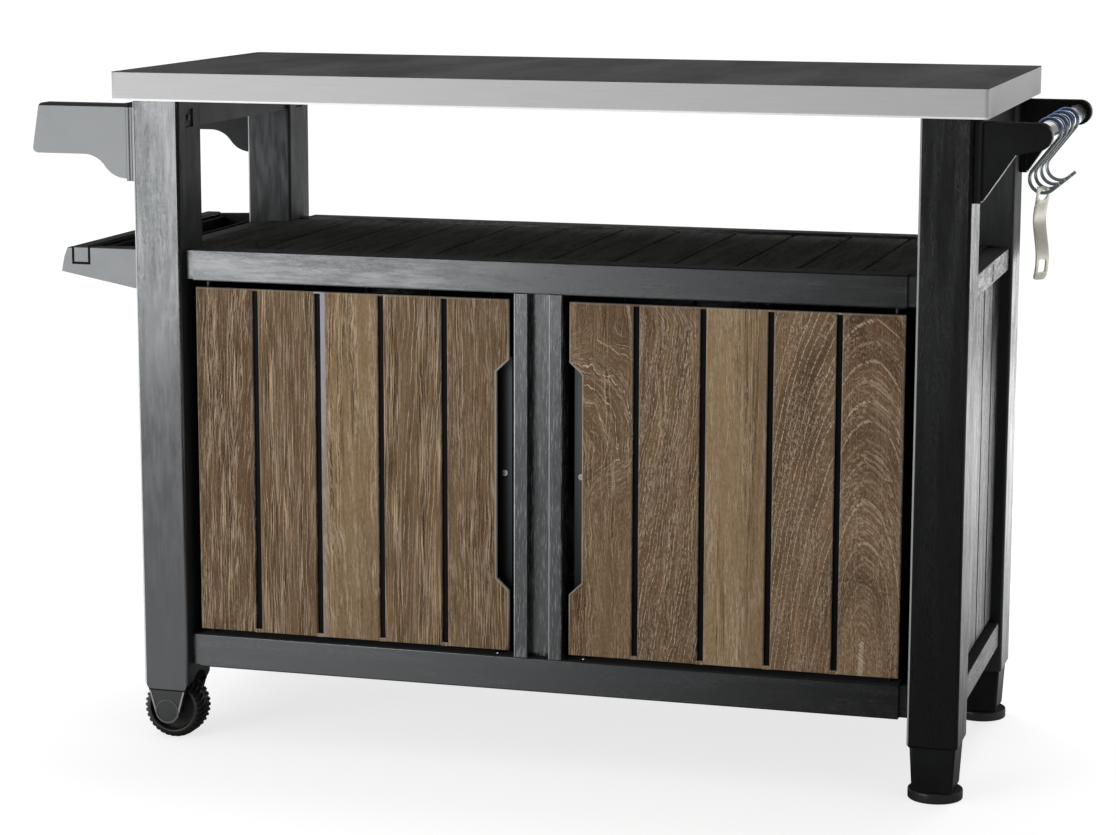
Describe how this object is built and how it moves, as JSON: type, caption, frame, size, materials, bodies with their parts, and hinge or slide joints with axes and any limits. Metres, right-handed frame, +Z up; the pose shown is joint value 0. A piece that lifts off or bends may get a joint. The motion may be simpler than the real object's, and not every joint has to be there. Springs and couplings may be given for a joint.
{
  "type": "grill cart with storage",
  "caption": "Outdoor cart: steel worktop, open shelf and a cabinet with plank doors, wheels under one end and levelling feet under the other, with a roll bar, a tray and a hook rod.",
  "frame": {"origin": "on the floor below the middle of the whole length and depth", "axes": "+X to the right along the length, seen from the doors; +Y from the doors to the back; +Z up"},
  "size_m": [1.3412, 0.52, 0.9],
  "materials": {
    "worktop_steel": "brushed sheet steel with a dark satin top and a lighter folded rim",
    "resin_graphite": "graphite resin with a fine moulded wood grain",
    "resin_brown": "brown resin planks with a moulded wood grain",
    "wheel_black": "black moulded plastic with a notched tread",
    "bright_steel": "bright plated steel",
    "rod_chrome": "polished chrome plate",
    "dark_steel": "dark steel wire and screws",
    "opener_steel": "satin strip steel with a worn darker middle"
  },
  "bodies": {
    "cart": {"worktop_sheet": "worktop_steel", "worktop_core": "resin_graphite", "top_beam_left": "resin_graphite", "top_beam_right": "resin_graphite", "leg_front_left": "resin_graphite", "leg_front_right": "resin_graphite", "leg_rear_left": "resin_graphite", "leg_rear_right": "resin_graphite", "wheel_fork_front": "resin_graphite", "wheel_fork_rear": "resin_graphite", "wheel_axles": "bright_steel", "foot_block_front": "resin_graphite", "foot_block_rear": "resin_graphite", "shelf_deck": "resin_brown", "shelf_rail_front": "resin_graphite", "shelf_rail_rear": "resin_graphite", "shelf_rail_left": "resin_graphite", "shelf_rail_right": "resin_graphite", "base_rail_front": "resin_graphite", "base_rail_rear": "resin_graphite", "base_rail_left": "resin_graphite", "base_rail_right": "resin_graphite", "cabinet_floor": "resin_graphite", "side_panel_left": "resin_brown", "side_panel_right": "resin_brown", "back_panel": "resin_brown", "centre_post": "resin_graphite", "door_magnets": "bright_steel", "roll_arm_brackets": "resin_graphite", "roll_arm_front": "resin_graphite", "roll_arm_rear": "resin_graphite", "tray_side_front": "resin_graphite", "tray_side_rear": "resin_graphite", "tray_bin": "resin_graphite", "tray_crossbar": "resin_graphite", "hook_arm_brackets": "resin_graphite", "hook_arm_front": "resin_graphite", "hook_arm_rear": "resin_graphite", "hook_rod": "rod_chrome", "frame_screws": "dark_steel"},
    "door_left": {"door_left_panel": "resin_brown", "door_left_frame": "resin_graphite", "door_left_pins": "bright_steel", "door_left_strike": "bright_steel", "door_left_screw": "dark_steel"},
    "door_right": {"door_right_panel": "resin_brown", "door_right_frame": "resin_graphite", "door_right_pins": "bright_steel", "door_right_strike": "bright_steel", "door_right_screw": "dark_steel"},
    "wheel_front": {"wheel_front": "wheel_black"},
    "wheel_rear": {"wheel_rear": "wheel_black"},
    "levelling_foot_front": {"levelling_foot_front": "resin_graphite"},
    "levelling_foot_rear": {"levelling_foot_rear": "resin_graphite"},
    "roll_bar": {"roll_bar": "resin_graphite"},
    "hook_1": {"hook_1": "dark_steel"},
    "hook_2": {"hook_2": "dark_steel"},
    "hook_3": {"hook_3": "dark_steel"},
    "hook_4": {"hook_4": "dark_steel"},
    "bottle_opener": {"bottle_opener": "opener_steel"}
  },
  "joints": [
    {"name": "door_left_hinge", "type": "hinge", "parent": "cart", "child": "door_left", "pos_m": [-0.43125, -0.211, 0.388], "axis": [0, 0, -1], "range_deg": [0, 105]},
    {"name": "door_right_hinge", "type": "hinge", "parent": "cart", "child": "door_right", "pos_m": [0.48475, -0.211, 0.388], "axis": [0, 0, 1], "range_deg": [0, 105]},
    {"name": "wheel_front_spin", "type": "hinge", "parent": "cart", "child": "wheel_front", "pos_m": [-0.49075, -0.2015, 0.042], "axis": [0, 1, 0], "continuous": true},
    {"name": "wheel_rear_spin", "type": "hinge", "parent": "cart", "child": "wheel_rear", "pos_m": [-0.49075, 0.2015, 0.042], "axis": [0, 1, 0], "continuous": true},
    {"name": "levelling_foot_front_travel", "type": "slide", "parent": "cart", "child": "levelling_foot_front", "axis": [0, 0, -1], "range_m": [0, 0.012]},
    {"name": "levelling_foot_rear_travel", "type": "slide", "parent": "cart", "child": "levelling_foot_rear", "axis": [0, 0, -1], "range_m": [0, 0.012]},
    {"name": "roll_bar_spin", "type": "hinge", "parent": "cart", "child": "roll_bar", "pos_m": [-0.63625, 0, 0.822], "axis": [0, 1, 0], "continuous": true},
    {"name": "hook_1_swing", "type": "hinge", "parent": "cart", "child": "hook_1", "pos_m": [0.65375, -0.12, 0.841], "axis": [0, 1, 0], "range_deg": [-60, 60]},
    {"name": "hook_2_swing", "type": "hinge", "parent": "cart", "child": "hook_2", "pos_m": [0.65375, -0.06, 0.841], "axis": [0, 1, 0], "range_deg": [-60, 70]},
    {"name": "hook_3_swing", "type": "hinge", "parent": "cart", "child": "hook_3", "pos_m": [0.65375, 0, 0.841], "axis": [0, 1, 0], "range_deg": [-60, 70]},
    {"name": "hook_4_swing", "type": "hinge", "parent": "cart", "child": "hook_4", "pos_m": [0.65375, 0.06, 0.841], "axis": [0, 1, 0], "range_deg": [-60, 70]},
    {"name": "bottle_opener_swing", "type": "hinge", "parent": "hook_1", "child": "bottle_opener", "pos_m": [0.64852, -0.12, 0.76373], "axis": [1, 0, 0], "range_deg": [-30, 30]}
  ]
}
